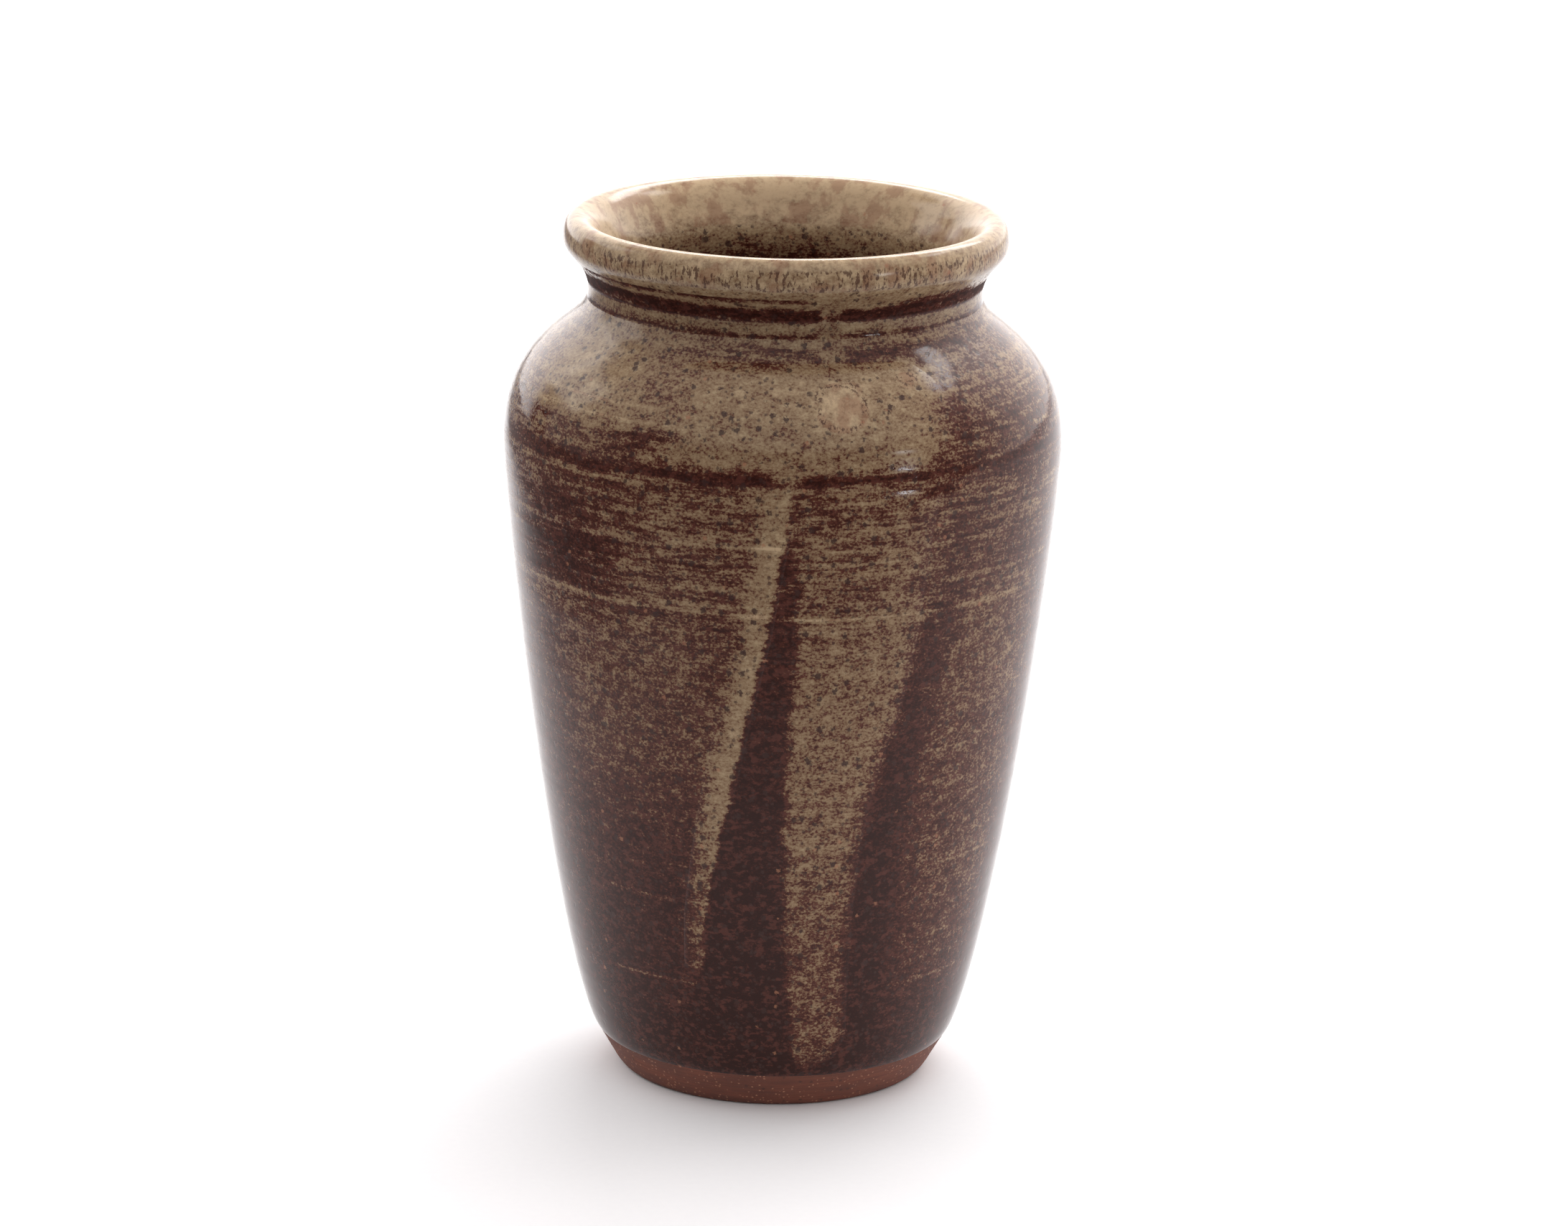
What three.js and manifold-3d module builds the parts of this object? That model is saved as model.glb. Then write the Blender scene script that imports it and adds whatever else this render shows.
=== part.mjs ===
// Ceramic bud vase: a wheel-thrown red stoneware pot under its coats of glaze.
// Millimetres, +Z up. The foot stands on Z = 0, the pot's axis is the Z axis, and the side
// with the two long runs of glaze faces -Y. Six pieces, in the order they are made:
//   clay_body      the thrown wall, floor, rolled lip and trimmed foot, bare at the foot
//   liner_glaze    the tan coat poured inside and over the lip
//   outer_glaze    the brown coat on the outside, from under the lip to the foot band
//   shoulder_pour  the thicker second pour that lies across the front of the shoulder
//   broad_run      the wide run of that pour, down the front to the foot
//   slanted_run    the narrow run beside it, which leans as it goes down
import * as THREE from 'three';
import { mergeVertices } from 'three/addons/utils/BufferGeometryUtils.js';
import Module from 'manifold-3d';

const wasm = await Module();
wasm.setup();

// Driving dimensions of the outside, measured on the glaze.
const height = 119.1;
const footRadius = 20.6;
const glazeLine = { radius: 24.3, height: 4.8 };
const belly = { radius: 37.9, height: 88.6 };
const neck = { radius: 26.7, height: 108.8 };
const lip = { radius: 30, height: 116.2 };
const lipCrestRadius = 28.3;

// Driving dimensions of the inside, measured on the liner.
const lipInside = { radius: 25.1, height: 116.4 };
const neckInside = { radius: 23.2, height: 110.6 };
const bellyInside = { radius: 33.8, height: 87.6 };
const floorCorner = { radius: 20.4, height: 12.6 };
const floorHeight = 6;

// Foot: a narrow standing ring around a shallow trimmed recess.
const footRingWidth = 5;
const recessDepth = 1.2;
const recessSlope = 1.6;

// Coats of glaze.
const glazeThickness = 0.4;
const pourThickness = 0.3;
const pourClearance = 0.05;
const linerEdgeHeight = 114.2;

const segmentsRound = 40;
const foldTolerance = 1e-4;

// An outline is a chain of Bezier curves of radius (x) against height (y).
function outline(start) {
  return new THREE.Path().moveTo(start.radius, start.height);
}

function pointsOf(path, divisionsPerCurve) {
  return path.curves.flatMap((curve, index) => {
    const points = curve.getPoints(divisionsPerCurve[index]);
    return index === 0 ? points : points.slice(1);
  });
}

// The outside of the pot, from the glaze line up over the belly and neck to the lip's side.
// The curve stands upright at the belly, at the neck and at the lip.
const outside = outline(glazeLine);
outside.bezierCurveTo(30.8, 16.2, belly.radius, belly.height - 6.6, belly.radius, belly.height);
outside.bezierCurveTo(belly.radius, belly.height + 14.4, neck.radius, neck.height - 4.8,
  neck.radius, neck.height);
outside.bezierCurveTo(neck.radius, neck.height + 3, 28.2, 113, 29.1, linerEdgeHeight);

// The lip is a soft roll, from the edge of the liner over the crest to the inner side.
const lipRoll = outline({ radius: 29.1, height: linerEdgeHeight });
lipRoll.bezierCurveTo(29.6, 114.9, lip.radius, 115.4, lip.radius, lip.height);
lipRoll.bezierCurveTo(lip.radius, 117.9, 29.5, height, lipCrestRadius, height);
lipRoll.bezierCurveTo(27, height, 25.8, 118, lipInside.radius, lipInside.height);

// The inside, down from the lip through the neck and the belly to the middle of the floor.
const inside = outline(lipInside);
inside.bezierCurveTo(24.3, 114.6, neckInside.radius, neckInside.height + 2.6,
  neckInside.radius, neckInside.height);
inside.bezierCurveTo(neckInside.radius, neckInside.height - 7, bellyInside.radius,
  bellyInside.height + 11, bellyInside.radius, bellyInside.height);
inside.bezierCurveTo(bellyInside.radius, 75.6, 25.4, 26.6, floorCorner.radius, floorCorner.height);
inside.bezierCurveTo(18.4, 7.4, 13, floorHeight, 0, floorHeight);

const outsidePoints = pointsOf(outside, [7, 9, 3]);
const lipPoints = pointsOf(lipRoll, [1, 3, 3]);
const insidePoints = pointsOf(inside, [3, 6, 5, 4]);
const surface = [...outsidePoints, ...lipPoints.slice(1), ...insidePoints.slice(1)];

// Moves every point of an outline sideways. Going up the outside, the clay is on the left.
function shifted(points, distance) {
  return points.map((point, index) => {
    const before = points[Math.max(index - 1, 0)];
    const after = points[Math.min(index + 1, points.length - 1)];
    const along = after.clone().sub(before).normalize();
    const moved = new THREE.Vector2(point.x - along.y * distance, point.y + along.x * distance);
    return point.x === 0 ? new THREE.Vector2(0, point.y - distance) : moved;
  });
}

const claySurface = shifted(surface, glazeThickness);
const linerStart = outsidePoints.length - 1;

// Turns an outline about the Z axis. The lathe's own axis is Y, so it is stood upright here.
function turned(points) {
  const geometry = new THREE.LatheGeometry(points, segmentsRound);
  geometry.rotateX(Math.PI / 2);
  return geometry;
}

function piece(name, geometry, colour, roughness) {
  const material = new THREE.MeshStandardMaterial({ color: colour, roughness, metalness: 0 });
  const mesh = new THREE.Mesh(geometry, material);
  mesh.name = name;
  return mesh;
}

// Clay body: the recess, the standing ring, the bare band that rounds out of it, the clay
// under the glaze, over the lip and down the inside to the middle of the floor.
function clayBody() {
  const recessRadius = footRadius - footRingWidth;
  const recess = [
    new THREE.Vector2(0, recessDepth),
    new THREE.Vector2(recessRadius - recessSlope, recessDepth),
    new THREE.Vector2(recessRadius, 0),
  ];
  const bareBand = outline({ radius: footRadius, height: 0 });
  bareBand.bezierCurveTo(footRadius + 1, 0, footRadius + 1.9, 2.2, claySurface[0].x, claySurface[0].y);
  return turned([...recess, ...pointsOf(bareBand, [4]), ...claySurface.slice(1)]);
}

// Liner: over the lip and down the inside as one coat, with the clay as its back.
function linerGlaze() {
  const front = surface.slice(linerStart);
  const back = claySurface.slice(linerStart);
  return turned([...back.reverse(), ...front]);
}

// Outer coat: a closed ring of glaze from the glaze line up to the edge of the liner.
function outerGlaze() {
  const front = surface.slice(0, linerStart + 1);
  const back = claySurface.slice(0, linerStart + 1);
  return turned([...front, ...back.reverse(), front[0]]);
}

// A pour is the part of one more full coat that lies within an outline drawn on the front.
function pour(shape) {
  const front = shifted(outsidePoints, -pourClearance - pourThickness);
  const back = shifted(outsidePoints, -pourClearance);
  const coat = solid(turned([...front, ...back.reverse(), front[0]]));
  const cutter = new THREE.ExtrudeGeometry(shape, {
    depth: belly.radius + 5,
    bevelEnabled: false,
    curveSegments: 6,
  });
  cutter.rotateX(Math.PI / 2);
  return geometryOf(coat.intersect(solid(cutter)));
}

function solid(geometry) {
  const bare = geometry.clone();
  bare.deleteAttribute('normal');
  bare.deleteAttribute('uv');
  const merged = mergeVertices(bare, foldTolerance);
  return new wasm.Manifold(new wasm.Mesh({
    numProp: 3,
    vertProperties: merged.attributes.position.array,
    triVerts: Uint32Array.from(merged.index.array),
  }));
}

function geometryOf(manifold) {
  const mesh = manifold.getMesh();
  const geometry = new THREE.BufferGeometry();
  geometry.setAttribute('position', new THREE.BufferAttribute(mesh.vertProperties, 3));
  geometry.setIndex(new THREE.BufferAttribute(mesh.triVerts, 1));
  geometry.computeVertexNormals();
  return geometry;
}

// The outlines of the pours, seen from the front: across (x) and up (y).
function shoulderPourShape() {
  const shape = new THREE.Shape();
  shape.moveTo(-20, 93.2);
  shape.bezierCurveTo(-24, 96.6, -24, 100.6, -16.5, 105.2);
  shape.bezierCurveTo(-8, 107, 8, 107, 17, 105.6);
  shape.bezierCurveTo(27, 102.6, 27, 97.6, 21, 93.6);
  shape.bezierCurveTo(8, 92.6, -8, 92.6, -20, 93.2);
  return shape;
}

function broadRunShape() {
  const shape = new THREE.Shape();
  shape.moveTo(1.6, 90.6);
  shape.bezierCurveTo(2.6, 75.6, 2, 63.6, 1.7, 55.6);
  shape.bezierCurveTo(1.7, 39.6, 1.4, 25.6, 2, 15.6);
  shape.bezierCurveTo(2.6, 8.6, 6, 6, 7.4, 5.8);
  shape.bezierCurveTo(10, 6.6, 11.2, 13.6, 11.2, 23.6);
  shape.bezierCurveTo(11.2, 37.6, 12.6, 43.6, 14.2, 54.6);
  shape.bezierCurveTo(15, 59.6, 17.6, 59.6, 18.2, 65.6);
  shape.bezierCurveTo(19.4, 75.6, 21.2, 81.6, 21.8, 90.6);
  shape.lineTo(1.6, 90.6);
  return shape;
}

function slantedRunShape() {
  const shape = new THREE.Shape();
  shape.moveTo(-2, 90);
  shape.bezierCurveTo(-3.4, 75.6, -7.4, 61.6, -9.4, 49.6);
  shape.bezierCurveTo(-11.4, 39.6, -12, 33.6, -11.8, 22.6);
  shape.bezierCurveTo(-11.4, 20.2, -9.4, 20.2, -8.8, 22.6);
  shape.bezierCurveTo(-8.2, 37.6, -6.4, 45.6, -4.6, 53.6);
  shape.bezierCurveTo(-2.4, 63.6, 0.6, 77.6, 1.2, 90);
  shape.lineTo(-2, 90);
  return shape;
}

const vase = new THREE.Group();
vase.add(
  piece('clay_body', clayBody(), 0x8a4e38, 0.85),
  piece('liner_glaze', linerGlaze(), 0xb39a7a, 0.2),
  piece('outer_glaze', outerGlaze(), 0x4b2d26, 0.2),
  piece('shoulder_pour', pour(shoulderPourShape()), 0x967d62, 0.2),
  piece('broad_run', pour(broadRunShape()), 0x8a7056, 0.2),
  piece('slanted_run', pour(slantedRunShape()), 0x907659, 0.2),
);

export default vase;
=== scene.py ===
"""A wheel-thrown stoneware bud vase under its coats of glaze, standing on a white studio floor."""

import math

import bpy
import numpy as np
from mathutils import Matrix, Vector


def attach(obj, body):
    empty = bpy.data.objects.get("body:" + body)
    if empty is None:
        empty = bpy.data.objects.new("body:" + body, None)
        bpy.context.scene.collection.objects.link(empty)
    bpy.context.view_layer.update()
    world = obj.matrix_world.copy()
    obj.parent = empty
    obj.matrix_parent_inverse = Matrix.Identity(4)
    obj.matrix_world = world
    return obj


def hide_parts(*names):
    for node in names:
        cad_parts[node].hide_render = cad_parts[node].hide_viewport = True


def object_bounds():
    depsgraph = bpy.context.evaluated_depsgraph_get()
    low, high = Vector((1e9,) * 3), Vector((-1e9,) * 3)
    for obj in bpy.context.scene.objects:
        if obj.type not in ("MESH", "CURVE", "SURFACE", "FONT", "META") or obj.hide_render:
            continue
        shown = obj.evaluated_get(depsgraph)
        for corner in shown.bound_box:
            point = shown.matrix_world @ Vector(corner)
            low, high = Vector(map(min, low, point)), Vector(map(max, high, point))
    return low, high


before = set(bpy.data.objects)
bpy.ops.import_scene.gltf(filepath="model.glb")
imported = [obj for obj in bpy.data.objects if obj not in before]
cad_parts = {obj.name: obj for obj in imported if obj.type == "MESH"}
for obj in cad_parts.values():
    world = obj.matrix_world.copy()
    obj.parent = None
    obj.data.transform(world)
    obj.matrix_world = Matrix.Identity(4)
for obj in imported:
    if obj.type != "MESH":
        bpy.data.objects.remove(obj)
cad_low, cad_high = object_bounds()

# ---------------------------------------------------------------- camera
# A long portrait lens on a tripod, well above the rim, looks down at the vase. It stands
# slightly out of level, so the vase seems to lean by a degree.
camera_distance = 0.8
camera_height = 0.2826
camera_tilt_down = math.radians(15.3)
camera_turn_right = math.radians(0.0435)
camera_out_of_level = math.radians(1.04)

camera = bpy.data.objects.new("camera", bpy.data.cameras.new("camera"))
camera.data.sensor_width = 36
camera.data.lens = 139
camera.matrix_world = (
    Matrix.Translation((0, -camera_distance, camera_height))
    @ Matrix.Rotation(-camera_turn_right, 4, "Z")
    @ Matrix.Rotation(math.pi / 2 - camera_tilt_down, 4, "X")
    @ Matrix.Rotation(camera_out_of_level, 4, "Z")
)
bpy.context.collection.objects.link(camera)
bpy.context.scene.camera = camera
bpy.context.scene.view_settings.view_transform = "Standard"


# ---------------------------------------------------------------- white surround
# A tent of white cloth lights the vase from the sides, from behind and from above. The side
# towards the camera is open to a darker room, which keeps the front of the gloss deep.
def step(tree, kind, inputs=None, **settings):
    """Adds a node and fills its inputs with values or with the outputs of other nodes."""
    made = tree.nodes.new(kind)
    for name, value in settings.items():
        setattr(made, name, value)
    for key, value in (inputs or {}).items():
        if isinstance(value, bpy.types.NodeSocket):
            tree.links.new(value, made.inputs[key])
        else:
            made.inputs[key].default_value = value
    return made


def maths(tree, operation, first, second=0.0, third=0.0):
    """A Math node's result, for inputs that are numbers or sockets."""
    return step(tree, "ShaderNodeMath", {0: first, 1: second, 2: third}, operation=operation).outputs[0]


def eased(tree, value, low, high, start=0.0, end=1.0):
    """Runs smoothly from start to end as the value goes from low to high."""
    inputs = {"Value": value, "From Min": low, "From Max": high, "To Min": start, "To Max": end}
    made = step(tree, "ShaderNodeMapRange", inputs, interpolation_type="SMOOTHSTEP")
    return made.outputs["Result"]


def mixed(tree, factor, first, second):
    """A colour between two colours."""
    return step(tree, "ShaderNodeMix", {0: factor, 6: first, 7: second}, data_type="RGBA").outputs[2]


def white_tent():
    world = bpy.data.worlds.new("white_tent")
    world.use_nodes = True
    tree = world.node_tree
    tree.nodes.clear()
    direction = step(tree, "ShaderNodeTexCoord").outputs["Generated"]
    across, along, up = step(tree, "ShaderNodeSeparateXYZ", {0: direction}).outputs
    # Bearings run from the camera's side (0) round to the back (180), positive to the right.
    bearing = maths(tree, "ARCTAN2", across, maths(tree, "MULTIPLY", along, -1.0))
    round_back = step(tree, "ShaderNodeMapRange",
                      {"Value": bearing, "From Min": -math.pi, "From Max": math.pi}).outputs["Result"]
    panels = step(tree, "ShaderNodeValToRGB", {0: round_back})
    brightness = (
        (-180, 2.2), (-150, 3.2), (-134, 3.0), (-126, 1.2), (-112, 0.9), (-88, 0.75), (-55, 0.22), (0, 0.08),
        (50, 0.16), (75, 0.5), (95, 1.3), (112, 2.5), (130, 3.0), (180, 2.2),
    )
    brightest = 3.5
    ramp = panels.color_ramp
    while len(ramp.elements) < len(brightness):
        ramp.elements.new(0.5)
    for element, (degrees, level) in zip(ramp.elements, brightness):
        element.position = (degrees + 180) / 360
        element.color = (level / brightest,) * 3 + (1,)
    sides = maths(tree, "MULTIPLY", panels.outputs["Color"], brightest)
    overhead = eased(tree, up, 0.12, 0.62)
    low_panels = maths(tree, "MULTIPLY", sides, eased(tree, up, 0.6, 0.9, 1.0, 0.0))
    tent = maths(tree, "MAXIMUM", low_panels, maths(tree, "MULTIPLY", overhead, 1.05))
    # A narrow gap between two cloths, back on the left, with the dark room behind it.
    from_gap = maths(tree, "ABSOLUTE", maths(tree, "ADD", bearing, math.radians(122)))
    gap_width = eased(tree, from_gap, 0.09, 0.17, 1.0, 0.0)
    gap_height = eased(tree, up, 0.7, 0.85, 0.93, 0.0)
    in_gap = maths(tree, "MULTIPLY", gap_width, gap_height)
    tent = maths(tree, "MULTIPLY", tent, maths(tree, "SUBTRACT", 1.0, in_gap))
    seen = step(tree, "ShaderNodeLightPath").outputs["Is Camera Ray"]
    strength = maths(tree, "ADD", maths(tree, "MULTIPLY", tent, maths(tree, "SUBTRACT", 1.0, seen)),
                     maths(tree, "MULTIPLY", seen, 1.1))
    background = step(tree, "ShaderNodeBackground", {"Color": (1.0, 0.965, 0.955, 1.0), "Strength": strength})
    step(tree, "ShaderNodeOutputWorld", {"Surface": background.outputs[0]})
    bpy.context.scene.world = world


white_tent()


def soft_box(name, width, height, power, place, target):
    """A rectangular lamp behind white cloth, aimed at a point."""
    light = bpy.data.lights.new(name, "AREA")
    light.shape = "RECTANGLE"
    light.size = width
    light.size_y = height
    light.energy = power
    box = bpy.data.objects.new(name, light)
    aim = Vector(target) - Vector(place)
    box.matrix_world = Matrix.Translation(place) @ aim.to_track_quat("-Z", "Y").to_matrix().to_4x4()
    box.visible_camera = False
    bpy.context.collection.objects.link(box)


soft_box("back_box", 0.9, 0.3, 7.0, (0.2, 0.85, 0.8), (0, 0, 0.06))
soft_box("right_box", 0.3, 0.1, 0.8, (0.52, 0.3, 0.75), (0, 0, 0.09))
soft_box("left_box", 0.4, 0.3, 1.0, (-0.65, 0.3, 0.5), (0, 0, 0.08))
soft_box("window_lamp", 0.07, 0.035, 0.2, (0.46, -0.386, 0.15), (0, 0, 0.09))


def floor():
    """A sheet of white card with shade painted into its colour in front and on the left, just out of view."""
    reach = 3.0
    mesh = bpy.data.meshes.new("floor")
    corners = [(-reach, -reach, 0), (reach, -reach, 0), (reach, reach, 0), (-reach, reach, 0)]
    mesh.from_pydata(corners, [], [(0, 1, 2, 3)])
    card = bpy.data.objects.new("floor", mesh)
    bpy.context.collection.objects.link(card)
    material = bpy.data.materials.new("white_card")
    material.use_nodes = True
    tree = material.node_tree
    shader = tree.nodes["Principled BSDF"]
    place = step(tree, "ShaderNodeTexCoord").outputs["Object"]
    fibre = step(tree, "ShaderNodeTexNoise", {"Vector": place, "Scale": 900.0, "Detail": 3.0}).outputs["Fac"]
    white = mixed(tree, fibre, (0.83, 0.83, 0.845, 1), (0.86, 0.86, 0.87, 1))
    across, along, _ = step(tree, "ShaderNodeSeparateXYZ", {0: place}).outputs
    # The painted shade starts out of view, along a line that leans outwards as it goes back.
    from_left_edge = maths(tree, "MULTIPLY_ADD", along, 0.13, across)
    lit_behind = eased(tree, along, -0.22, -0.06)
    lit = maths(tree, "MULTIPLY", lit_behind, eased(tree, from_left_edge, -0.22, -0.125))
    # Where the card counts as unlit, its colour is a painted dark grey shade.
    tree.links.new(mixed(tree, lit, (0.16, 0.15, 0.15, 1), white), shader.inputs["Base Color"])
    shader.inputs["Roughness"].default_value = 0.9
    mesh.materials.append(material)


floor()


# ---------------------------------------------------------------- clay body
# The pot itself: one piece of red stoneware with fine grog, thrown on the wheel and trimmed at
# the foot. It shows only at the foot, where the glaze was wiped off so the pot would not stick.
mm = cad_high.z / 119.1

belly = (37.9, 88.6)
neck = (26.7, 108.8)
lip_side = (30.0, 116.2)
lip_join = (29.1, 114.2)
glaze_line = (24.3, 4.8)
glaze_coat = 0.4
foot_radius = 20.6
recess_radius = 15.6
recess_depth = 1.2

outside_bends = [
    ((30.8, 16.2), (37.9, 82.0), belly),
    ((37.9, 103.0), (26.7, 104.0), neck),
    ((26.7, 111.8), (28.2, 113.0), lip_join),
]
lip_bends = [
    ((29.6, 114.9), (30.0, 115.4), lip_side),
    ((30.0, 117.9), (29.5, 119.1), (28.3, 119.1)),
    ((27.0, 119.1), (25.8, 118.0), (25.1, 116.4)),
]
inside_bends = [
    ((24.3, 114.6), (23.2, 113.2), (23.2, 110.6)),
    ((23.2, 103.6), (33.8, 98.6), (33.8, 87.6)),
    ((33.8, 75.6), (25.4, 26.6), (20.4, 12.6)),
    ((18.4, 7.4), (13.0, 6.0), (0.0, 6.0)),
]


def bent_line(start, bends):
    """A chain of Bezier bends as closely spaced points of radius and height, in millimetres."""
    t = np.linspace(0, 1, 400)[:, None]
    points = [np.array([start])]
    for first, second, end in bends:
        ends = [np.array(p) for p in (start, first, second, end)]
        weights = ((1 - t) ** 3, 3 * (1 - t) ** 2 * t, 3 * (1 - t) * t**2, t**3)
        points.append(sum(w * p for w, p in zip(weights, ends))[1:])
        start = end
    return np.concatenate(points)


def length_along(line):
    """How far each point of a line is from the line's start."""
    return np.concatenate([[0], np.cumsum(np.hypot(*np.diff(line, axis=0).T))])


def spaced(line, spacing):
    """The same line with evenly spaced points."""
    gone = length_along(line)
    places = np.linspace(0, gone[-1], max(int(round(gone[-1] / spacing)), 1) + 1)
    return np.stack([np.interp(places, gone, line[:, k]) for k in (0, 1)], axis=1)


def outward(line):
    """The direction out of the pot at each point of a line that runs up the outside."""
    along = np.gradient(line, axis=0)
    along /= np.hypot(*along.T)[:, None]
    return np.stack([along[:, 1], -along[:, 0]], axis=1)


def pushed(line, distance):
    """A line moved along its own outward direction, by one distance or by one for each point."""
    moved = line + outward(line) * np.reshape(distance, (-1, 1))
    moved[:, 0] = np.maximum(moved[:, 0], 0)
    moved[line[:, 0] < 1e-6, 0] = 0
    return moved


def wall_bender():
    """Geometry nodes that bend a flat sheet, laid out as angle, radius and height, round the pot's
    axis, press the throwing rings into it and leave it as uneven as a hand-thrown pot."""
    tree = bpy.data.node_groups.new("wall_bender", "GeometryNodeTree")
    face = tree.interface
    face.new_socket("Sheet", in_out="INPUT", socket_type="NodeSocketGeometry")
    for name, value in (("Ring depth", 0.0), ("Rings per metre", 0.0), ("Unevenness", 0.0)):
        face.new_socket(name, in_out="INPUT", socket_type="NodeSocketFloat").default_value = value
    face.new_socket("Finish", in_out="INPUT", socket_type="NodeSocketMaterial")
    face.new_socket("Wall", in_out="OUTPUT", socket_type="NodeSocketGeometry")
    given = step(tree, "NodeGroupInput").outputs

    def stored(name):
        made = step(tree, "GeometryNodeInputNamedAttribute", {"Name": name}, data_type="FLOAT")
        return made.outputs["Attribute"]

    def times(vector, by):
        return step(tree, "ShaderNodeVectorMath", {0: vector, 1: by}, operation="MULTIPLY").outputs[0]

    flat = step(tree, "GeometryNodeInputPosition").outputs[0]
    angle, radius, height = step(tree, "ShaderNodeSeparateXYZ", {0: flat}).outputs
    sine = maths(tree, "SINE", angle)
    minus_cosine = maths(tree, "MULTIPLY", maths(tree, "COSINE", angle), -1.0)

    def round_axis(out, up):
        parts = {0: maths(tree, "MULTIPLY", out, sine), 1: maths(tree, "MULTIPLY", out, minus_cosine), 2: up}
        return step(tree, "ShaderNodeCombineXYZ", parts).outputs[0]

    place = round_axis(radius, height)
    # Rings are long round the pot and narrow up it, so the noise is squeezed along the axis.
    ring_place = times(place, (12.0, 12.0, 1.0))
    squeezed = step(tree, "ShaderNodeCombineXYZ", {0: 1.0, 1: 1.0, 2: given["Rings per metre"]}).outputs[0]
    ring_noise = step(tree, "ShaderNodeTexNoise",
                      {"Vector": times(ring_place, squeezed), "Scale": 1.0, "Detail": 3.0, "Roughness": 0.55})
    ring = maths(tree, "MULTIPLY_ADD", ring_noise.outputs[0], 2.0, -1.0)
    ring = maths(tree, "MULTIPLY", ring, given["Ring depth"])
    pressed = maths(tree, "MULTIPLY", ring, stored("ring_share"))
    sway_noise = step(tree, "ShaderNodeTexNoise", {"Vector": place, "Scale": 14.0, "Detail": 0.0})
    sway = maths(tree, "MULTIPLY", maths(tree, "MULTIPLY_ADD", sway_noise.outputs[0], 2.0, -1.0),
                 given["Unevenness"])
    swayed = maths(tree, "MULTIPLY", sway, maths(tree, "MINIMUM", maths(tree, "MULTIPLY", radius, 60.0), 1.0))
    lifted = maths(tree, "ADD", pressed, stored("lift"))
    out = round_axis(stored("outward_r"), stored("outward_z"))
    stretched = step(tree, "ShaderNodeVectorMath", {0: out, 3: lifted}, operation="SCALE").outputs[0]
    spread = round_axis(swayed, 0.0)
    moved = step(tree, "ShaderNodeVectorMath", {0: place, 1: stretched}, operation="ADD").outputs[0]
    moved = step(tree, "ShaderNodeVectorMath", {0: moved, 1: spread}, operation="ADD").outputs[0]
    wall = step(tree, "GeometryNodeSetPosition", {"Geometry": given["Sheet"], "Position": moved})
    closed = step(tree, "GeometryNodeMergeByDistance", {"Geometry": wall.outputs[0], "Distance": 2e-6})
    smooth = step(tree, "GeometryNodeSetShadeSmooth", {"Geometry": closed.outputs[0]}, domain="FACE")
    corner = step(tree, "GeometryNodeInputMeshEdgeAngle").outputs["Unsigned Angle"]
    sharp_angle = 0.7
    sharp = step(tree, "FunctionNodeCompare", {0: corner, 1: sharp_angle},
                 data_type="FLOAT", operation="GREATER_THAN")
    creased = step(tree, "GeometryNodeSetShadeSmooth",
                   {"Geometry": smooth.outputs[0], "Selection": sharp.outputs[0], "Shade Smooth": False},
                   domain="EDGE")
    real = step(tree, "GeometryNodeRealizeInstances", {"Geometry": creased.outputs[0]})
    finished = step(tree, "GeometryNodeSetMaterial",
                    {"Geometry": real.outputs[0], "Material": given["Finish"]})
    step(tree, "NodeGroupOutput", {"Wall": finished.outputs[0]})
    return tree


bender = wall_bender()


def bend_round(name, sheet, finish, ring_depth, rings_per_metre, unevenness=0.00025):
    """Bends a flat sheet round the axis and returns it as a plain mesh object."""
    wall = bpy.data.objects.new(name, sheet)
    bpy.context.collection.objects.link(wall)
    modifier = wall.modifiers.new("bend", "NODES")
    modifier.node_group = bender
    values = {"Ring depth": ring_depth, "Rings per metre": rings_per_metre, "Unevenness": unevenness,
              "Finish": finish}
    for socket in bender.interface.items_tree:
        if socket.in_out == "INPUT" and socket.name in values:
            modifier[socket.identifier] = values[socket.name]
    graph = bpy.context.evaluated_depsgraph_get()
    bent = bpy.data.meshes.new_from_object(wall.evaluated_get(graph), depsgraph=graph)
    wall.modifiers.clear()
    wall.data = bent
    bent.name = name
    return wall


def flat_sheet(name, angles, line, facing, fields):
    """A sheet of angle, radius and height. Each field is one number for each point of the line, or
    one for each point of the whole sheet."""
    around, up = len(angles), len(line)
    angle = np.repeat(angles, up)
    radius, height = (np.tile(line[:, k] * mm, around) for k in (0, 1))
    mesh = bpy.data.meshes.new(name)
    index = np.arange(around * up).reshape(around, up)
    quads = np.stack([index[:-1, :-1], index[1:, :-1], index[1:, 1:], index[:-1, 1:]], axis=-1).reshape(-1, 4)
    mesh.from_pydata(np.stack([angle, radius, height], axis=1).tolist(), [], quads.tolist())
    fields = dict(fields, outward_r=facing[:, 0], outward_z=facing[:, 1])
    for field, values in fields.items():
        whole = np.tile(values, around) if len(values) == up else values
        mesh.attributes.new(field, "FLOAT", "POINT").data.foreach_set("value", whole.astype(np.float32))
    return mesh


def full_turn(segments):
    return np.linspace(-math.pi, math.pi, segments + 1)


def eased_rise(value, low, high):
    """0 below low, 1 above high and a smooth rise between them."""
    t = np.clip((value - low) / (high - low), 0, 1)
    return t * t * (3 - 2 * t)


def finish_of(name):
    """A new material with its node tree and its Principled shader."""
    material = bpy.data.materials.new(name)
    material.use_nodes = True
    tree = material.node_tree
    return material, tree, tree.nodes["Principled BSDF"]


def object_place(tree, stretch):
    """The place on the object in millimetres, stretched by one factor for each axis."""
    place = step(tree, "ShaderNodeTexCoord").outputs["Object"]
    scale = tuple(1000.0 * s for s in stretch)
    return step(tree, "ShaderNodeMapping", {"Vector": place, "Scale": scale}).outputs[0]


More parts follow.
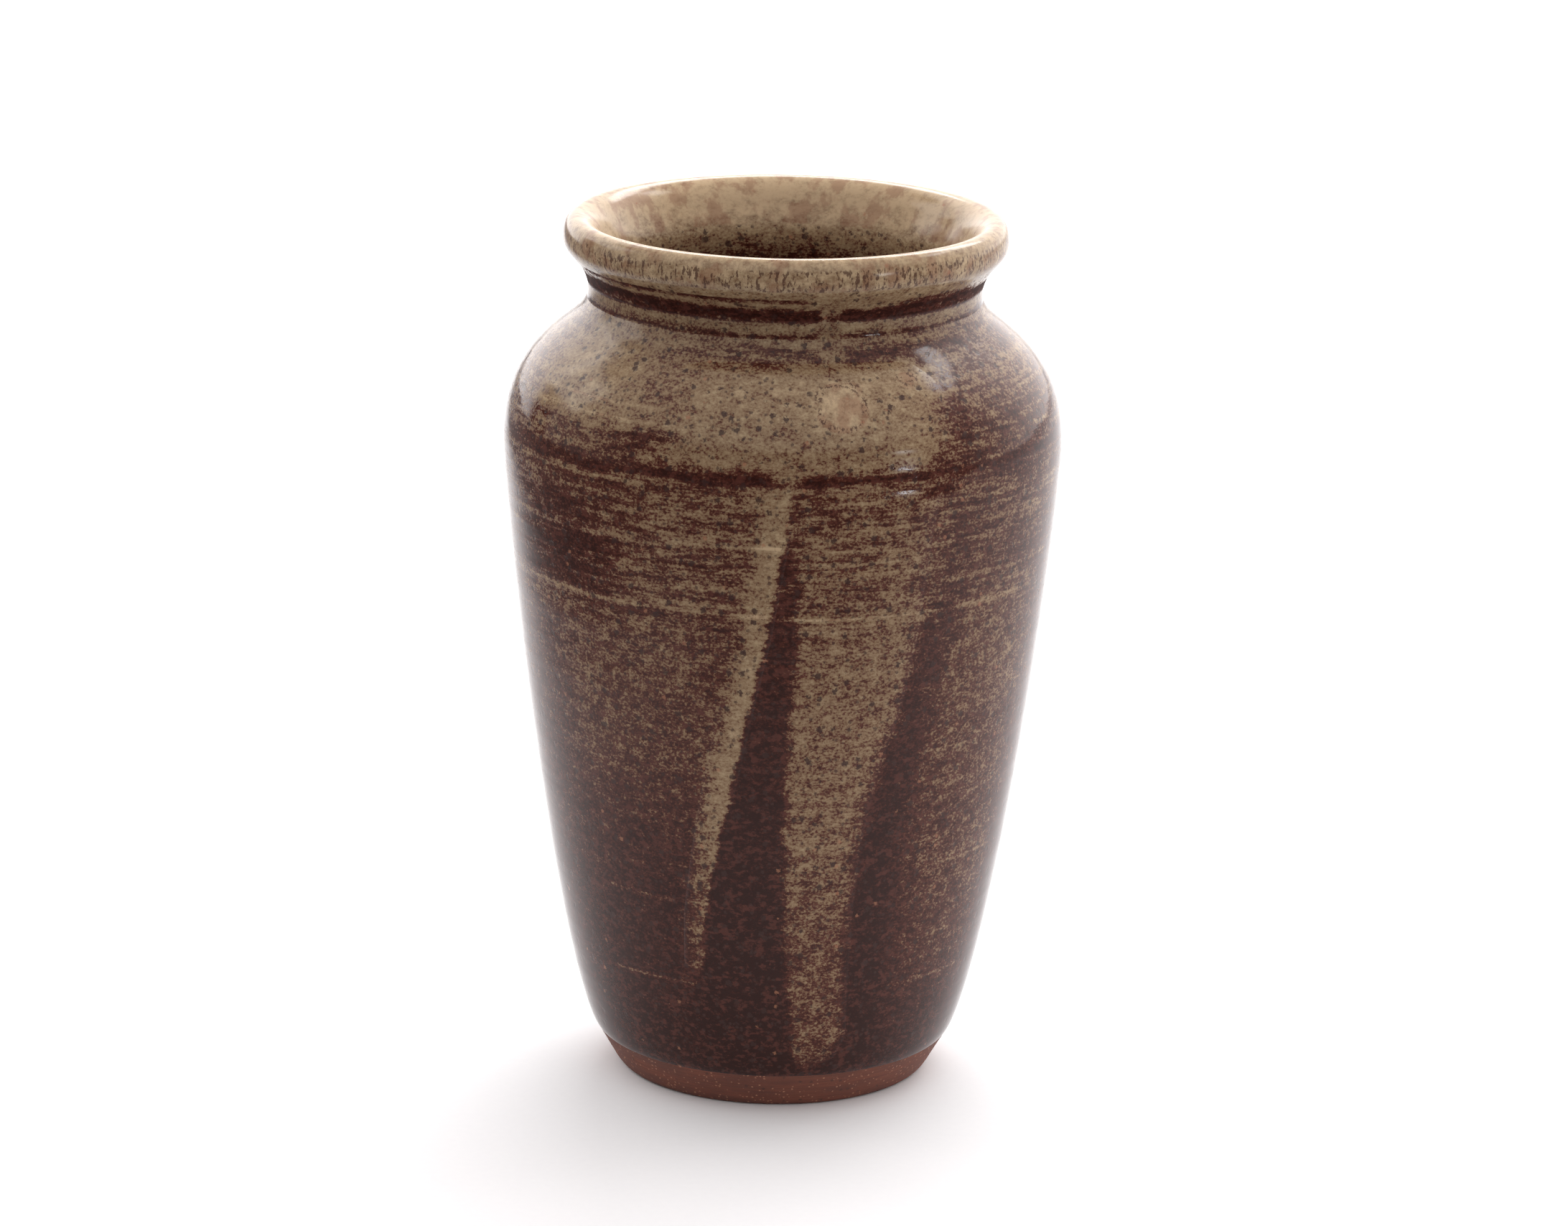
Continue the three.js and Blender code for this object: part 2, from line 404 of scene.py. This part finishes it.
def noise(tree, stretch, detail=2.0, roughness=0.5):
    """Noise whose blotches are about one millimetre divided by the stretch."""
    inputs = {"Vector": object_place(tree, stretch), "Scale": 1.0, "Detail": detail, "Roughness": roughness}
    return step(tree, "ShaderNodeTexNoise", inputs).outputs["Fac"]


def grains(tree, spacing, size, share):
    """Ragged grains about that far apart, in millimetres: a mask, and only that share of them."""
    place = object_place(tree, (1, 1, 1))
    wander = step(tree, "ShaderNodeTexNoise", {"Vector": place, "Scale": 1.6 / size, "Detail": 1.0})
    centred = step(tree, "ShaderNodeVectorMath", {0: wander.outputs["Color"], 1: (0.5, 0.5, 0.5)},
                   operation="SUBTRACT").outputs[0]
    ragged = step(tree, "ShaderNodeVectorMath", {0: centred, 1: (size * 1.5,) * 3, 2: place},
                  operation="MULTIPLY_ADD").outputs[0]
    cells = step(tree, "ShaderNodeTexVoronoi", {"Vector": ragged, "Scale": 1.0 / spacing, "Randomness": 1.0})
    inside = eased(tree, cells.outputs["Distance"], size / spacing * 0.6, size / spacing, 1.0, 0.0)
    chance = step(tree, "ShaderNodeSeparateColor", {0: cells.outputs["Color"]}).outputs[0]
    picked = maths(tree, "LESS_THAN", chance, share)
    return maths(tree, "MULTIPLY", inside, picked)


def bare_stoneware():
    material, tree, shader = finish_of("bare_stoneware")
    clouds = noise(tree, (0.12, 0.12, 0.5), 4.0)
    colour = mixed(tree, eased(tree, clouds, 0.35, 0.65), (0.134, 0.041, 0.025, 1), (0.196, 0.063, 0.038, 1))
    trimming = noise(tree, (0.1, 0.1, 5.0), 3.0)
    colour = mixed(tree, eased(tree, trimming, 0.35, 0.7, 0.0, 0.5), colour, (0.092, 0.034, 0.023, 1))
    pale_grog = grains(tree, 0.55, 0.17, 0.5)
    colour = mixed(tree, maths(tree, "MULTIPLY", pale_grog, 0.8), colour, (0.44, 0.20, 0.115, 1))
    dark_grog = grains(tree, 1.3, 0.3, 0.4)
    colour = mixed(tree, maths(tree, "MULTIPLY", dark_grog, 0.6), colour, (0.05, 0.025, 0.02, 1))
    tree.links.new(colour, shader.inputs["Base Color"])
    tree.links.new(eased(tree, clouds, 0.3, 0.7, 0.72, 0.88), shader.inputs["Roughness"])
    height = maths(tree, "ADD", maths(tree, "MULTIPLY", trimming, 0.6),
                   maths(tree, "MULTIPLY", pale_grog, 0.35))
    height = maths(tree, "ADD", height, maths(tree, "MULTIPLY", noise(tree, (2.5, 2.5, 2.5), 4.0), 0.5))
    bump = step(tree, "ShaderNodeBump", {"Height": height, "Strength": 0.5, "Distance": 0.00012})
    tree.links.new(bump.outputs[0], shader.inputs["Normal"])
    return material


def clay_body():
    recess_slope = 1.6
    underside = np.array([(0.0, recess_depth), (recess_radius - recess_slope, recess_depth),
                          (recess_radius, 0.0), (foot_radius, 0.0)])
    hidden_gap = 0.03
    cover_at_glaze_line = 0.17
    wall_line = spaced(bent_line(glaze_line, outside_bends + lip_bends + inside_bends), 1.0)
    # The clay comes out to meet the thin edge of the glaze, so there is no step at the glaze line.
    full_cover = glaze_coat + hidden_gap
    thickening = eased_rise(length_along(wall_line), 0.5, 4.0)
    cover = cover_at_glaze_line + (full_cover - cover_at_glaze_line) * thickening
    under_glaze = pushed(wall_line, -cover)
    bare_band = bent_line((foot_radius, 0.0), [((21.6, 0.0), (22.4, 2.0), tuple(under_glaze[0]))])
    line = np.concatenate([spaced(underside, 0.5), spaced(bare_band, 0.25)[1:], under_glaze[1:]])
    facing = outward(line)
    foot_end = len(line) - len(under_glaze)
    on_foot = 1 - eased_rise(np.arange(len(line)), foot_end, foot_end + 2)
    flat_underneath = eased_rise(line[:, 1], 0.2, 1.0)
    sheet = flat_sheet("clay_body", full_turn(360), line, facing,
                       {"ring_share": on_foot * flat_underneath, "lift": np.zeros(len(line))})
    body = bend_round("stoneware_body", sheet, bare_stoneware(), 0.00006, 700.0)
    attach(body, "root")
    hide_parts("clay_body")


clay_body()


# ---------------------------------------------------------------- outer glaze
# An iron-rich glaze over the whole outside. Where it ran thin over the throwing rings it burnt
# to a dark red-brown, and where it lies thick it stayed tan, so the rings show as streaks.
def between(value, low, high, soft):
    """1 between low and high, with soft edges."""
    return eased_rise(value, low - soft, low + soft) * (1 - eased_rise(value, high - soft, high + soft))


slanted_run_heights = (17.6, 21.6, 29.6, 39.6, 49.6, 59.6, 69.6, 79.6, 90.6)
slanted_run_middle = (-20.8, -20.5, -19.3, -15.9, -12.2, -8.6, -4.9, -2.4, -0.2)
slanted_run_width = (4.0, 4.4, 4.8, 5.2, 5.6, 5.4, 5.2, 5.2, 6.0)
broad_run_heights = (5.6, 7.6, 11.6, 19.6, 29.6, 39.6, 49.6, 59.6, 69.6, 84.6, 91.6)
broad_run_left = (9.0, 6.5, 5.5, 3.6, 2.2, 2.2, 2.3, 3.0, 4.0, 4.2, 2.6)
broad_run_right = (13.0, 18.5, 21.6, 20.4, 20.0, 20.6, 23.4, 28.4, 31.0, 33.0, 35.0)


def glaze_depth(azimuth, height):
    """How thick the glaze lies at an azimuth in degrees and a height in millimetres. It burns
    brown below about 0.4, stays tan above 0.6 and turns creamy above 1."""
    levels = (
        (3, -0.28), (12, -0.22), (20, -0.15), (32, -0.04), (45, 0.08), (60, 0.19), (73, 0.28),
        (75.6, 0.22), (89, 0.30), (90.8, 0.28), (91.3, 0.06), (91.9, 0.06), (92.4, 0.30),
        (93.2, 0.42), (97.6, 0.50), (100.6, 0.56), (103.6, 0.62), (105.6, 0.54), (107.6, 0.62),
        (108.0, 0.46), (108.3, 0.12), (108.6, 0.6), (109.6, 0.90), (110.2, 0.80), (110.55, -0.1),
        (111.9, -0.1), (112.3, 0.6), (112.8, 0.85), (114.2, 0.95), (120.6, 1.05),
    )
    depth = np.interp(height, *zip(*levels))
    # Across the front of the shoulder the glaze was poured twice, and lies creamy in two pools.
    depth = depth + 0.36 * between(azimuth, -24, 34, 10) * between(height, 92.6, 104.2, 1.0)
    depth = depth + 0.40 * between(azimuth, 8, 18, 5) * between(height, 97.6, 102.6, 2.5)
    depth = depth + 0.30 * between(azimuth, 28, 38, 4) * between(height, 101.6, 104.6, 1.5)
    # The left of the shoulder is tan above, made paler there as a painted highlight of a lamp on the left,
    # and brown below; the right is streaked with brown.
    depth = depth + 0.34 * between(azimuth, -66, -34, 8) * between(height, 96.0, 106.6, 2)
    depth = depth - 0.14 * between(azimuth, -66, -24, 7) * between(height, 93.6, 96.6, 0.5)
    depth = depth - 0.15 * between(azimuth, 36, 80, 6) * between(height, 92.6, 106.6, 1.5)
    # A dark patch low on the left of the shoulder, and mottled fields beside and below it.
    depth = depth - 0.20 * between(azimuth, -64, -42, 6) * between(height, 75, 86.6, 2)
    depth = depth + 0.22 * between(azimuth, -34, 0, 5) * between(height, 73.6, 90.6, 0.8)
    depth = depth + 0.22 * between(azimuth, -54, -12, 8) * between(height, 45.6, 71.6, 7)
    depth = depth - 0.22 * between(azimuth, -8, 32, 8) * between(height, 91.3, 91.9, 0.4)
    depth = depth + (0.20 + 0.12 * (height < 40)) * between(azimuth, 34, 66, 6) * between(height, 16, 72, 8)
    # The runs wander a little as they go down, and their edges are jagged.
    jitter = 0.6 * np.sin(height * 5.3 + azimuth * 0.9) * np.sin(height * 1.7 + 1.3)
    jitter = jitter + 0.5 * np.sin(height * 8.9 + 1.7) * np.sin(height * 3.1 + 0.4)
    wander = 0.4 * np.sin(height * 0.83 + 1.0) + 0.3 * np.sin(height * 1.9)
    wander = wander + 0.08 * np.sin(height * 4.3 + 2.0)
    left = np.interp(height, broad_run_heights, broad_run_left) + wander + jitter
    right = np.interp(height, broad_run_heights, broad_run_right) - 1.4 * wander - jitter
    middle = np.interp(height, slanted_run_heights, slanted_run_middle) + 0.7 * wander + 0.6 * jitter
    width = np.interp(height, slanted_run_heights, slanted_run_width)
    # The brown strips that the two runs leave beside them.
    depth = depth - 0.34 * (1 - eased_rise(height, 75.6, 85.6)) * between(azimuth, middle, left, 0.8)
    depth = depth - 0.26 * (1 - eased_rise(height, 71.6, 77.6)) * between(azimuth, right, right + 9, 3)
    # The two runs, each ragged on the left and clean on the right.
    share = np.interp(height, (5.6, 13.6, 23.6, 29.6, 43.6, 59.6, 71.6, 77.6, 90.6, 91.6),
                      (0.36, 0.46, 0.42, 0.48, 0.62, 0.64, 0.62, 0.54, 0.56, 0.15))
    ragged = 1.2 + 5.0 * eased_rise(height, 68, 84)
    in_broad = eased_rise(azimuth, left - 2.4, left + 1.8)
    in_broad = in_broad * (1 - eased_rise(azimuth, right - 3.0 - ragged, right + ragged))
    in_broad = in_broad * between(height, 6.6, 91.2, 1.0)
    depth = depth * (1 - in_broad) + share * in_broad
    fades = np.interp(height, (17.6, 23.6, 33.6, 39.6, 45.6, 90.6, 91.6),
                      (0.15, 0.38, 0.52, 0.70, 0.95, 0.92, 0.25))
    in_slanted = eased_rise(azimuth, middle - width * 1.15, middle - width * 0.05)
    in_slanted = in_slanted * (1 - eased_rise(azimuth, middle + width * 0.3, middle + width * 0.56))
    in_slanted = in_slanted * between(height, 20.6, 91.0, 2.0)
    depth = depth * (1 - in_slanted) + np.maximum(fades, depth) * in_slanted
    # A trickle crosses the neck's bands and the dark ring under the shoulder.
    trickle = 0.85 * between(azimuth, 9.5, 16, 0.8) * between(height, 103.6, 115.6, 1)
    depth = depth * (1 - trickle) + 0.72 * trickle
    over_ring = 0.8 * between(azimuth, -1.5, 4.5, 1.2) * between(height, 90.1, 93.6, 0.8)
    depth = depth * (1 - over_ring) + 0.7 * over_ring
    # The neck's bands widen to the left, and a thin one lies above them.
    wide_left = 0.8 * between(azimuth, -76, -30, 9) * between(height, 110.4, 112.6, 0.4)
    depth = depth * (1 - wide_left) + 0.02 * wide_left
    depth = depth - 0.7 * between(azimuth, -70, 6, 4) * between(height, 113.2, 114.0, 0.3)
    depth = depth - 0.55 * between(azimuth, 17, 33, 1.0) * between(height, 105.8, 106.6, 0.3)
    depth = depth - 0.5 * between(azimuth, 34, 64, 3.0) * between(height, 111.8, 113.0, 0.25)
    # Thin tan lines in the grooves.
    lines = (
        (-68, -2, 73.1, 0.5), (-1, 64, 72.7, 0.6), (-70, -20, 82.0, 0.4), (-22, 2, 82.6, 0.55),
        (15, 48, 78.8, 0.4), (34, 75, 86.2, 0.35), (30, 70, 82.2, 0.3), (30, 75, 76.6, 0.3),
        (-66, -30, 89.8, 0.5), (-66, -20, 97.6, 0.35), (-66, -26, 99.4, 0.3), (-50, -8, 19.2, 0.5),
        (-48, 2, 31.4, 0.3), (20, 62, 18.6, 0.35), (36, 52, 52.6, 0.35), (44, 66, 35.6, 0.35),
        (3, 22, 40.2, 0.3),
        (95, 160, 72.9, 0.5), (-160, -95, 73.2, 0.5), (100, 170, 82.1, 0.4), (-170, -100, 78.6, 0.4),
    )
    for start, end, level, amount in lines:
        depth = depth + amount * between(azimuth, start, end, 3) * np.exp(-((height - level) / 0.26) ** 2)
    return depth


glaze_ring_depth = 0.00007
glaze_rings_per_metre = 260.0


def iron_glaze():
    material, tree, shader = finish_of("iron_glaze")
    depth = step(tree, "ShaderNodeAttribute", attribute_name="glaze_depth").outputs["Fac"]

    def wave(stretch, detail, roughness=0.5):
        return maths(tree, "MULTIPLY_ADD", noise(tree, stretch, detail, roughness), 2.0, -1.0)

    streak = wave((0.03, 0.03, 1.0), 4.0, 0.6)
    broken = wave((0.14, 0.14, 1.5), 3.0, 0.6)
    blot = wave((0.6, 0.6, 0.9), 4.0, 0.6)
    grain = wave((2.4, 2.4, 3.2), 3.0, 0.65)
    # The streaks follow the throwing rings, which are plain on the shoulder and faint lower down.
    level = step(tree, "ShaderNodeSeparateXYZ", {0: object_place(tree, (1, 1, 1))}).outputs[2]
    ringed = eased(tree, level, 64.0, 76.0, 0.3, 1.0)
    ringed = maths(tree, "MULTIPLY", ringed, eased(tree, depth, 0.55, 0.8, 1.0, 0.3))
    laid = depth
    for amount, pattern in ((0.50, streak), (0.75, broken)):
        laid = maths(tree, "MULTIPLY_ADD", maths(tree, "MULTIPLY", pattern, ringed), amount, laid)
    for amount, pattern in ((0.80, blot), (1.15, grain)):
        laid = maths(tree, "MULTIPLY_ADD", pattern, amount, laid)
    ramp = step(tree, "ShaderNodeValToRGB", {0: maths(tree, "MULTIPLY_ADD", laid, 0.6, 0.2)})
    stops = (
        (0.00, (0.029, 0.0080, 0.0057)), (0.14, (0.038, 0.0100, 0.0071)), (0.26, (0.055, 0.0143, 0.0096)),
        (0.356, (0.071, 0.0194, 0.0124)), (0.44, (0.105, 0.035, 0.0218)), (0.506, (0.160, 0.080, 0.047)),
        (0.578, (0.218, 0.132, 0.075)), (0.73, (0.275, 0.182, 0.106)), (0.90, (0.335, 0.236, 0.140)),
        (1.00, (0.385, 0.285, 0.172)),
    )
    while len(ramp.color_ramp.elements) < len(stops):
        ramp.color_ramp.elements.new(0.5)
    for element, (place, colour) in zip(ramp.color_ramp.elements, stops):
        element.position = place
        element.color = (*colour, 1)
    colour = ramp.outputs["Color"]
    tan = eased(tree, laid, 0.44, 0.56)
    cream = eased(tree, maths(tree, "MULTIPLY_ADD", blot, 0.5, depth), 0.92, 1.42)
    colour = mixed(tree, maths(tree, "MULTIPLY", cream, 0.7), colour, (0.60, 0.435, 0.272, 1))
    # Red-brown clouds in the brown, iron spots and pepper in the tan, pale grog everywhere.
    red = eased(tree, noise(tree, (0.8, 0.8, 1.2), 4.0, 0.65), 0.5, 0.62)
    brown_only = maths(tree, "MULTIPLY", red, maths(tree, "SUBTRACT", 1.0, tan))
    colour = mixed(tree, maths(tree, "MULTIPLY", brown_only, 0.6), colour, (0.115, 0.036, 0.026, 1))
    few_inside = eased(tree, depth, 0.99, 1.06, 1.0, 0.1)
    spots = maths(tree, "MULTIPLY", grains(tree, 1.7, 0.52, 0.55), few_inside)
    pepper = grains(tree, 0.85, 0.3, 0.5)
    pepper = maths(tree, "MULTIPLY", pepper, few_inside)
    colour = mixed(tree, maths(tree, "MULTIPLY", spots, 0.85), colour, (0.045, 0.02, 0.017, 1))
    colour = mixed(tree, maths(tree, "MULTIPLY", pepper, 0.7), colour, (0.055, 0.026, 0.022, 1))
    # On the lip, and in the deepest pool, the iron gathers in short dashes and soft blotches.
    on_lip = eased(tree, depth, 1.03, 1.07)
    blush = maths(tree, "MULTIPLY", eased(tree, noise(tree, (0.35, 0.35, 0.25), 4.0, 0.6), 0.47, 0.6), on_lip)
    colour = mixed(tree, maths(tree, "MULTIPLY", blush, 0.5), colour, (0.25, 0.115, 0.065, 1))
    outer_edge = maths(tree, "MULTIPLY", on_lip, eased(tree, depth, 1.12, 1.16, 1.0, 0.25))
    across = object_place(tree, (1, 1, 0))
    from_axis = step(tree, "ShaderNodeVectorMath", {0: across}, operation="LENGTH").outputs["Value"]
    outer_edge = maths(tree, "MULTIPLY", outer_edge, eased(tree, from_axis, 28.6, 29.2))
    gathered = maths(tree, "MULTIPLY_ADD", blot, 0.12, noise(tree, (2.2, 2.2, 0.9), 4.0, 0.65))
    dashes = maths(tree, "MULTIPLY", eased(tree, gathered, 0.525, 0.575), outer_edge)
    colour = mixed(tree, maths(tree, "MULTIPLY", dashes, 0.8), colour, (0.07, 0.028, 0.02, 1))
    grog = grains(tree, 2.6, 0.36, 0.3)
    colour = mixed(tree, maths(tree, "MULTIPLY", grog, 0.6), colour, (0.36, 0.16, 0.09, 1))
    tree.links.new(colour, shader.inputs["Base Color"])
    shader.inputs["IOR"].default_value = 1.3
    gloss = eased(tree, tan, 0.0, 1.0, 0.1, 0.17)
    # In the neck's groove it ran so thin that it dried matt.
    below_groove_top = eased(tree, level, 113.6, 114.4, 1.0, 0.0)
    in_groove = maths(tree, "MULTIPLY", eased(tree, level, 110.0, 110.8), below_groove_top)
    matt = maths(tree, "MULTIPLY", in_groove, maths(tree, "SUBTRACT", 1.0, eased(tree, laid, 0.3, 0.8)))
    tree.links.new(maths(tree, "MULTIPLY_ADD", matt, 0.5, gloss), shader.inputs["Roughness"])
    tree.links.new(maths(tree, "MULTIPLY_ADD", matt, -0.4, 0.5), shader.inputs["Specular IOR Level"])
    height = maths(tree, "MULTIPLY_ADD", tan, 0.35, maths(tree, "MULTIPLY", streak, 0.3))
    height = maths(tree, "MULTIPLY_ADD", noise(tree, (0.5, 0.5, 0.9), 2.0), 0.5, height)
    height = maths(tree, "MULTIPLY_ADD", spots, -0.5, height)
    bump = step(tree, "ShaderNodeBump", {"Height": height, "Strength": 0.35, "Distance": 0.00006})
    tree.links.new(bump.outputs[0], shader.inputs["Normal"])
    return material


glaze_finish = iron_glaze()


def outer_glaze():
    edge_roll = 2.6
    front = spaced(bent_line(glaze_line, outside_bends + lip_bends[:1]), 0.35)
    gone = length_along(front)
    built_up = np.sqrt(1 - (1 - np.clip(gone / edge_roll, 0, 1)) ** 2)
    under_lip = eased_rise(front[:, 1], lip_join[1] - 0.2, lip_join[1] + 1.0)
    front_line = pushed(front, -glaze_coat * (1 - built_up) - 0.3 * under_lip)
    back = pushed(spaced(bent_line(glaze_line, outside_bends + lip_bends[:1]), 4.0), -glaze_coat)[::-1]
    line = np.concatenate([front_line, back, front_line[:1]])
    facing = np.concatenate([outward(front), -outward(back), outward(front)[:1]])
    share = np.zeros(len(line))
    share[:len(front)] = eased_rise(gone, 0.5, 6.0) * (1 - 0.6 * eased_rise(front[:, 1], 112, 115))
    angles = full_turn(280)
    azimuth = np.degrees(np.repeat(angles, len(line)))
    height = np.tile(line[:, 1], len(angles))
    sheet = flat_sheet("outer_glaze", angles, line, facing,
                       {"ring_share": share, "lift": np.zeros(len(line)),
                        "glaze_depth": glaze_depth(azimuth, height)})
    coat = bend_round("brown_outer_glaze", sheet, glaze_finish, glaze_ring_depth, glaze_rings_per_metre)
    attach(coat, "root")
    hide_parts("outer_glaze")


outer_glaze()


# ---------------------------------------------------------------- poured glaze
# A second pour of the same glaze over the front: a thick patch on the shoulder that ran down the
# wall in two trails. Each lies on the first coat and thins out to nothing at its edges.
outside_line = spaced(bent_line(glaze_line, outside_bends), 0.25)


def laid_pour(name, node, angles_at, heights, thickness, spacing=0.28):
    """A lens of glaze on the wall. angles_at gives its left and right azimuth at each height."""
    low, high = heights
    rows = np.linspace(low, high, int((high - low) / spacing))
    left, right = angles_at(rows)
    columns = int(np.radians((right - left).max()) * belly[0] / spacing)
    t = np.linspace(0, 1, columns + 1)
    front_u = np.repeat(t, len(rows))
    front_height = np.tile(rows, len(t))
    azimuth = np.tile(left, len(t)) * (1 - front_u) + np.tile(right, len(t)) * front_u
    edge_across = 1 - np.abs(front_u * 2 - 1) ** 6
    end = np.tile(np.minimum(rows - low, high - rows), len(t))
    lens = edge_across * eased_rise(end, 0, 2.5)
    radius = np.interp(front_height, outside_line[:, 1], outside_line[:, 0])
    facing = outward(outside_line)
    out_r, out_z = (np.interp(front_height, outside_line[:, 1], facing[:, k]) for k in (0, 1))
    sunk = 0.12
    back_below = 0.05
    count = len(front_u)
    lift = np.concatenate([lens * (thickness + sunk) - sunk, np.full(count, -sunk - back_below)]) * mm
    index = np.arange(count).reshape(len(t), len(rows))
    quads = np.stack([index[:-1, :-1], index[1:, :-1], index[1:, 1:], index[:-1, 1:]], axis=-1).reshape(-1, 4)
    rim = np.concatenate([index[:, 0], index[-1, 1:], index[-2::-1, -1], index[0, -2:0:-1]])
    after = np.roll(rim, -1)
    sides = np.stack([rim, rim + count, after + count, after], axis=1)
    faces = np.concatenate([quads, quads[:, ::-1] + count, sides])
    flat = np.stack([np.radians(azimuth), radius * mm, front_height * mm], axis=1)
    sheet = bpy.data.meshes.new(node)
    sheet.from_pydata(np.concatenate([flat, flat]).tolist(), [], faces.tolist())
    depth = glaze_depth(azimuth, front_height)
    fields = {"outward_r": np.tile(out_r, 2), "outward_z": np.tile(out_z, 2), "lift": lift,
              "ring_share": np.ones(2 * count), "glaze_depth": np.tile(depth, 2)}
    for field, values in fields.items():
        sheet.attributes.new(field, "FLOAT", "POINT").data.foreach_set("value", values.astype(np.float32))
    pour = bend_round(name, sheet, glaze_finish, glaze_ring_depth, glaze_rings_per_metre)
    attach(pour, "root")
    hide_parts(node)


def broad_edges(height):
    return (np.interp(height, broad_run_heights, broad_run_left) - 1.5,
            np.interp(height, broad_run_heights, broad_run_right) + 0.8)


def slanted_edges(height):
    middle = np.interp(height, slanted_run_heights, slanted_run_middle)
    width = np.interp(height, slanted_run_heights, slanted_run_width)
    return middle - width * 0.9, middle + width * 0.7


def shoulder_edges(height):
    bulge = np.sin(np.clip((height - 93.0) / 13.4, 0, 1) * math.pi)
    return -24 - 12 * bulge, 34 + 10 * bulge


laid_pour("poured_shoulder", "shoulder_pour", shoulder_edges, (93.0, 106.4), 0.16)
laid_pour("poured_broad_run", "broad_run", broad_edges, (6.4, 91.0), 0.16)
laid_pour("poured_slanted_run", "slanted_run", slanted_edges, (20.2, 90.2), 0.14)


# ---------------------------------------------------------------- liner glaze
# The same glaze laid on thick: poured in and swirled to line the pot, then brought over the lip,
# where it stayed tan and glossy with dark dashes along the outer edge.
def liner_depth(line):
    """Thick and tan over the lip, then thinner and browner down the inside, where the browning is also
    painted shade deep in the neck.
    """
    gone = length_along(line)
    way_to_crest = 6.5
    heights = (0, 60, 104, 107.6, 110.6, 113.6, 116.6, 119.1)
    # Down the inside the colour turns browner towards the bottom: partly thinner glaze, partly painted shade
    # where little light reaches.
    inside = np.interp(line[:, 1], heights, (0.1, 0.0, 0.0, 0.15, 0.65, 1.10, 1.32, 1.3))
    outside = np.interp(line[:, 1], (113.6, 114.6, 115.2, 117.4, 118.2, 119.1),
                        (0.9, 0.95, 1.1, 1.1, 1.18, 1.2))
    return np.where(gone < way_to_crest, outside, inside)


def liner_glaze():
    start = spaced(bent_line(glaze_line, outside_bends), 0.1)
    start = start[start[:, 1] > lip_join[1] - 0.4]
    over = bent_line(lip_join, lip_bends + inside_bends)
    whole = np.concatenate([start, over[1:]])
    front = spaced(whole, 0.6)
    gone = length_along(front)
    swell = 0.03 + 0.07 * eased_rise(gone, 0.0, 1.2)
    front_line = pushed(front, swell)
    back_line = pushed(spaced(whole, 5.0), -glaze_coat)[::-1]
    line = np.concatenate([back_line, front_line])
    facing = np.concatenate([-outward(spaced(whole, 5.0))[::-1], outward(front)])
    share = np.zeros(len(line))
    share[len(back_line):] = eased_rise(gone, 1.0, 4.0) + 1.2 * eased_rise(gone, 14.0, 22.0)
    share = share * np.clip(line[:, 0] / 6, 0, 1)
    depth = np.zeros(len(line))
    depth[len(back_line):] = liner_depth(front)
    sheet = flat_sheet("liner_glaze", full_turn(240), line, facing,
                       {"ring_share": share, "lift": np.zeros(len(line)), "glaze_depth": depth})
    liner = bend_round("tan_liner_glaze", sheet, glaze_finish, glaze_ring_depth, glaze_rings_per_metre)
    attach(liner, "root")
    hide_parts("liner_glaze")


liner_glaze()
